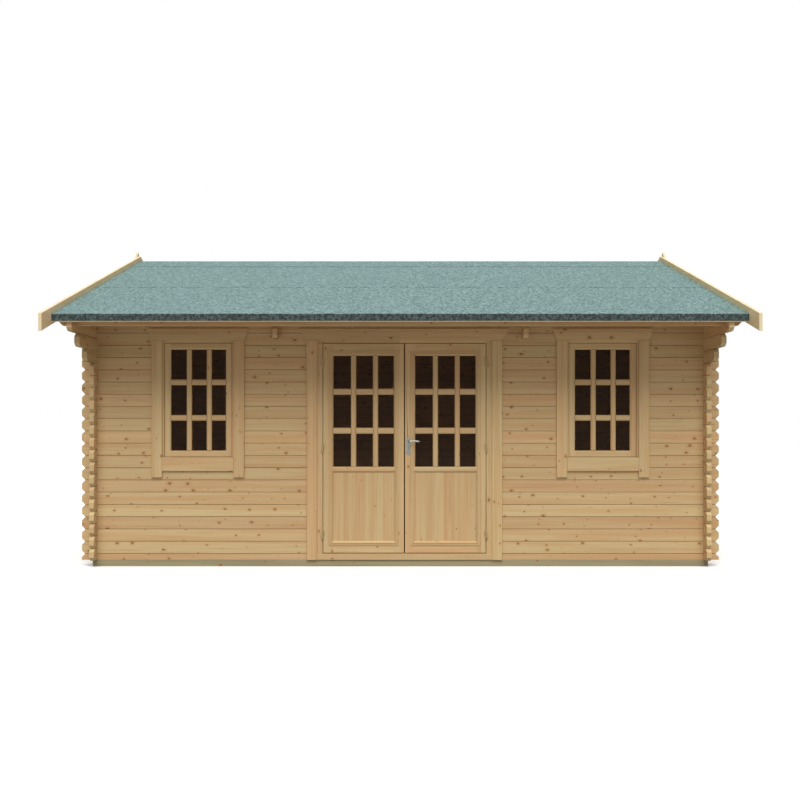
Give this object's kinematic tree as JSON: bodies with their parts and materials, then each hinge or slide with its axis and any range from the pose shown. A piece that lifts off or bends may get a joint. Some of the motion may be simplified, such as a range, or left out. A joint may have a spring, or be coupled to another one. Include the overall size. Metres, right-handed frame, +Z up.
{
  "type": "log cabin",
  "caption": "Single-room log cabin with interlocking corners, felted ridge roof, glazed double doors and a window on each side of them.",
  "frame": {"origin": "middle of the plan, on the ground under the bearers", "axes": "+X along the front towards the right as seen from outside the front, +Y from front to back, +Z up"},
  "size_m": [6.046, 5.79, 3.312],
  "materials": {
    "log_pine": "planed softwood with knots, unfinished",
    "joinery_pine": "planed softwood, unfinished",
    "pale_pine": "planed pale softwood, unfinished",
    "roof_boards": "tongued and grooved softwood boards",
    "floor_boards": "tongued and grooved softwood boards",
    "treated_pine": "pressure treated softwood, rough sawn",
    "green_felt": "mineral surfaced roofing felt, matte",
    "glazing": "clear glass over a dark room",
    "satin_steel": "satin"
  },
  "bodies": {
    "cabin": {"front_bearer": "treated_pine", "back_bearer": "treated_pine", "floor_joists": "treated_pine", "floor": "floor_boards", "front_wall_left": "log_pine", "front_wall_right": "log_pine", "front_wall_top": "log_pine", "back_wall": "log_pine", "left_wall": "log_pine", "right_wall": "log_pine", "left_gable": "log_pine", "right_gable": "log_pine", "left_tie_log": "log_pine", "right_tie_log": "log_pine", "left_truss": "log_pine", "right_truss": "log_pine", "ridge_purlin": "log_pine", "front_purlin": "log_pine", "back_purlin": "log_pine", "front_eave_purlin": "log_pine", "back_eave_purlin": "log_pine", "front_roof_boards": "roof_boards", "back_roof_boards": "roof_boards", "front_felt": "green_felt", "back_felt": "green_felt", "ridge_felt": "green_felt", "front_fascia": "pale_pine", "back_fascia": "pale_pine", "left_bargeboards": "pale_pine", "right_bargeboards": "pale_pine", "left_finial": "pale_pine", "right_finial": "pale_pine", "door_frame": "joinery_pine", "door_sill": "joinery_pine", "door_trim": "joinery_pine", "frame_hinges": "satin_steel", "left_window_frame": "joinery_pine", "left_window_trim": "joinery_pine", "left_sash": "joinery_pine", "left_window_glass": "glazing", "right_window_frame": "joinery_pine", "right_window_trim": "joinery_pine", "right_sash": "joinery_pine", "right_window_glass": "glazing"},
    "left_door": {"left_leaf": "joinery_pine", "left_leaf_panel": "joinery_pine", "left_leaf_glass": "glazing", "left_leaf_hinges": "satin_steel"},
    "right_door": {"right_leaf": "joinery_pine", "right_leaf_panel": "joinery_pine", "right_leaf_glass": "glazing", "right_leaf_hinges": "satin_steel", "lock_plates": "satin_steel"},
    "lever": {"lever_handle": "satin_steel"}
  },
  "joints": [
    {"name": "left_door_hinge", "type": "hinge", "parent": "cabin", "child": "left_door", "pos_m": [-0.7205, -1.988, 1.09], "axis": [0, 0, -1], "range_deg": [0, 100]},
    {"name": "right_door_hinge", "type": "hinge", "parent": "cabin", "child": "right_door", "pos_m": [0.7965, -1.988, 1.09], "axis": [0, 0, 1], "range_deg": [0, 100]},
    {"name": "lever_turn", "type": "hinge", "parent": "right_door", "child": "lever", "pos_m": [0.08, -1.98, 1.16], "axis": [0, 1, 0], "range_deg": [0, 45], "stiffness_Nm_per_rad": 1.5, "springref_deg": -34.38}
  ]
}
